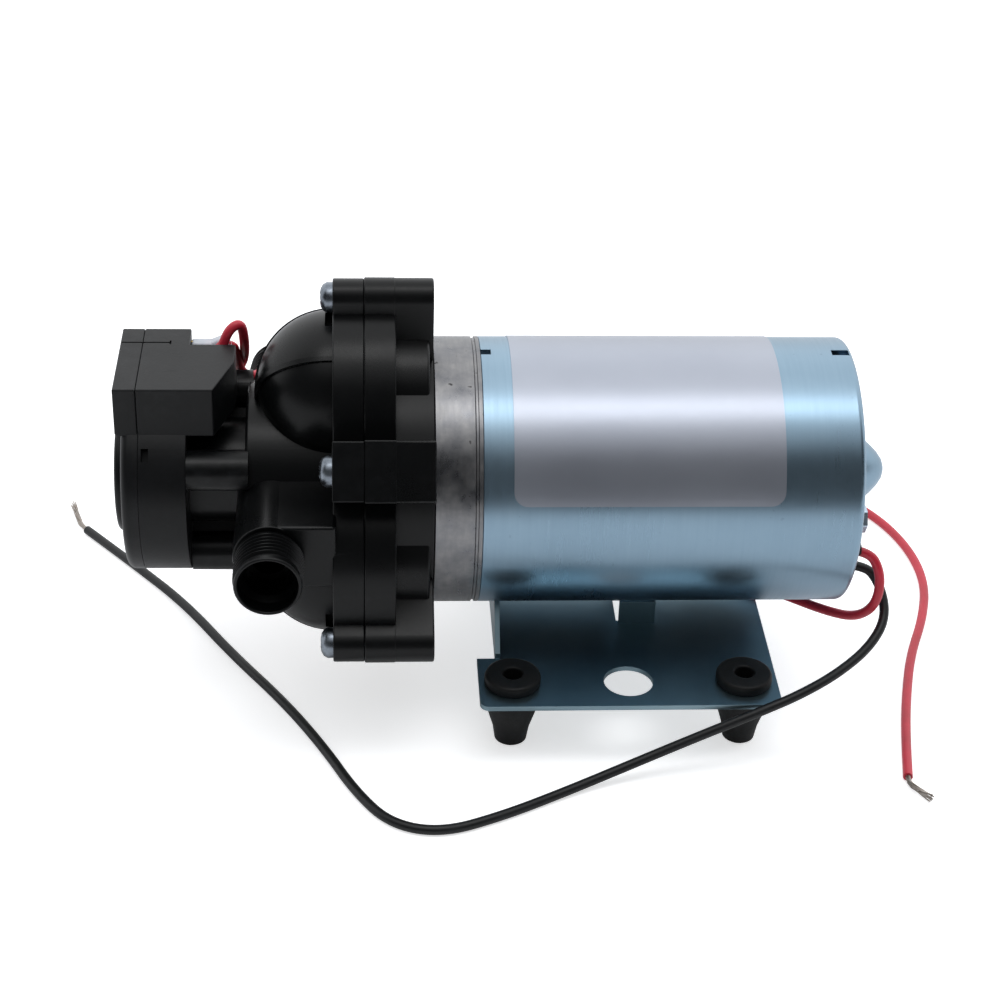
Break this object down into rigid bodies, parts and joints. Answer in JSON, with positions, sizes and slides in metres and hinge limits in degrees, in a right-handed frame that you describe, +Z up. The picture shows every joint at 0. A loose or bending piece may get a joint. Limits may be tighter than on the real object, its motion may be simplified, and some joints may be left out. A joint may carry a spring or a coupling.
{
  "type": "delivery pump",
  "caption": "Motor-driven diaphragm water pump on a footed base plate, with a lobed pump head, two side ports, a pressure switch and wire leads.",
  "frame": {"origin": "centre of the four foot-hole pattern, on the plane that the rubber feet rest on", "axes": "+X along the pump axis towards the motor's rear, +Z up, ports along Y"},
  "size_m": [0.2769, 0.1796, 0.1245],
  "materials": {
    "zinc_can": "zinc-plated, brushed along the rolled sheet",
    "zinc_bolt": "zinc-plated",
    "black_rubber": "matt",
    "ferrite": "ground ferrite",
    "bronze": "sintered",
    "bearing_steel": "ground",
    "lamination": "varnished laminations",
    "copper": "enamelled copper",
    "phenolic": "phenolic board",
    "carbon": "carbon graphite",
    "spring_steel": "bright",
    "cast_metal": "as cast, rough",
    "black_plastic": "glass-filled nylon, satin",
    "black_plastic_inner": "moulded",
    "steel_screw": "plated",
    "valve_rubber": "moulded",
    "white_plastic": "acetal",
    "switch_plastic": "moulded, fine grain",
    "brass": "plated brass",
    "boot_plastic": "translucent white nylon",
    "plated_sheet": "dark zinc-plated sheet",
    "foot_rubber": "matt moulded",
    "label_film": "silver-white film, bare",
    "black_wire": "PVC insulation",
    "red_wire": "PVC insulation",
    "bare_copper": "tinned copper strands"
  },
  "bodies": {
    "root": {"base_plate": "plated_sheet", "black_lead": "black_wire", "black_lead_strands": "bare_copper", "brush_plate": "phenolic", "brush_springs": "spring_steel", "brushes": "carbon", "cable_grommet": "black_rubber", "diaphragm": "valve_rubber", "drive_flange": "cast_metal", "flange_screws": "steel_screw", "foot_head_far": "foot_rubber", "foot_head_near": "foot_rubber", "foot_motor_far": "foot_rubber", "foot_motor_near": "foot_rubber", "front_bearing": "bearing_steel", "head_screws": "steel_screw", "inlet_port": "black_plastic", "inlet_valves": "valve_rubber", "jumper_lead": "red_wire", "lower_housing": "black_plastic", "magnets": "ferrite", "microswitch": "black_plastic_inner", "motor_can": "zinc_can", "motor_end_cap": "zinc_can", "outlet_port": "black_plastic", "outlet_valve": "valve_rubber", "rating_label": "label_film", "rear_bearing": "bronze", "red_lead": "red_wire", "red_lead_strands": "bare_copper", "switch_body": "switch_plastic", "switch_cover": "switch_plastic", "switch_diaphragm": "valve_rubber", "switch_screws": "steel_screw", "switch_spring": "spring_steel", "switch_terminals": "brass", "terminal_boots": "boot_plastic", "through_bolts": "zinc_bolt", "upper_housing": "black_plastic", "valve_plate": "white_plastic"},
    "rotor": {"shaft": "bearing_steel", "armature_core": "lamination", "windings": "copper", "commutator": "copper", "cam": "bearing_steel", "cam_bearing_inner": "bearing_steel"},
    "wobbler": {"cam_bearing_outer": "bearing_steel", "wobble_plate": "black_plastic_inner", "pistons": "black_plastic_inner", "piston_screws": "steel_screw"},
    "plunger": {"switch_plunger": "white_plastic"},
    "button": {"switch_button": "white_plastic"},
    "spring_seat": {"spring_seat": "brass"},
    "pressure_screw": {"pressure_screw": "steel_screw"}
  },
  "joints": [
    {"name": "motor_spin", "type": "hinge", "parent": "root", "child": "rotor", "pos_m": [0, 0, 0.064], "axis": [1, 0, 0], "continuous": true},
    {"name": "wobble_nutation", "type": "hinge", "parent": "rotor", "child": "wobbler", "pos_m": [-0.0656, 0, 0.064], "axis": [0.998, 0, -0.0628], "continuous": true, "deforming": ["diaphragm"]},
    {"name": "switch_travel", "type": "slide", "parent": "root", "child": "plunger", "axis": [-1, 0, 0], "range_m": [0, 0.0008], "stiffness_N_per_m": 4000, "deforming": ["switch_spring"]},
    {"name": "button_travel", "type": "slide", "parent": "root", "child": "button", "axis": [-1, 0, 0], "range_m": [0, 0.001]},
    {"name": "screw_advance", "type": "slide", "parent": "root", "child": "spring_seat", "axis": [1, 0, 0], "range_m": [0, 0.0014]},
    {"name": "screw_turn", "type": "hinge", "parent": "spring_seat", "child": "pressure_screw", "pos_m": [-0.1445, 0, 0.064], "axis": [1, 0, 0], "range_deg": [0, 760]}
  ],
  "couplings": [
    {"joint": "wobble_nutation", "follows": "motor_spin", "ratio": -1},
    {"joint": "button_travel", "follows": "switch_travel", "ratio": 1},
    {"joint": "screw_turn", "follows": "screw_advance", "rad_per_m": 8976}
  ]
}
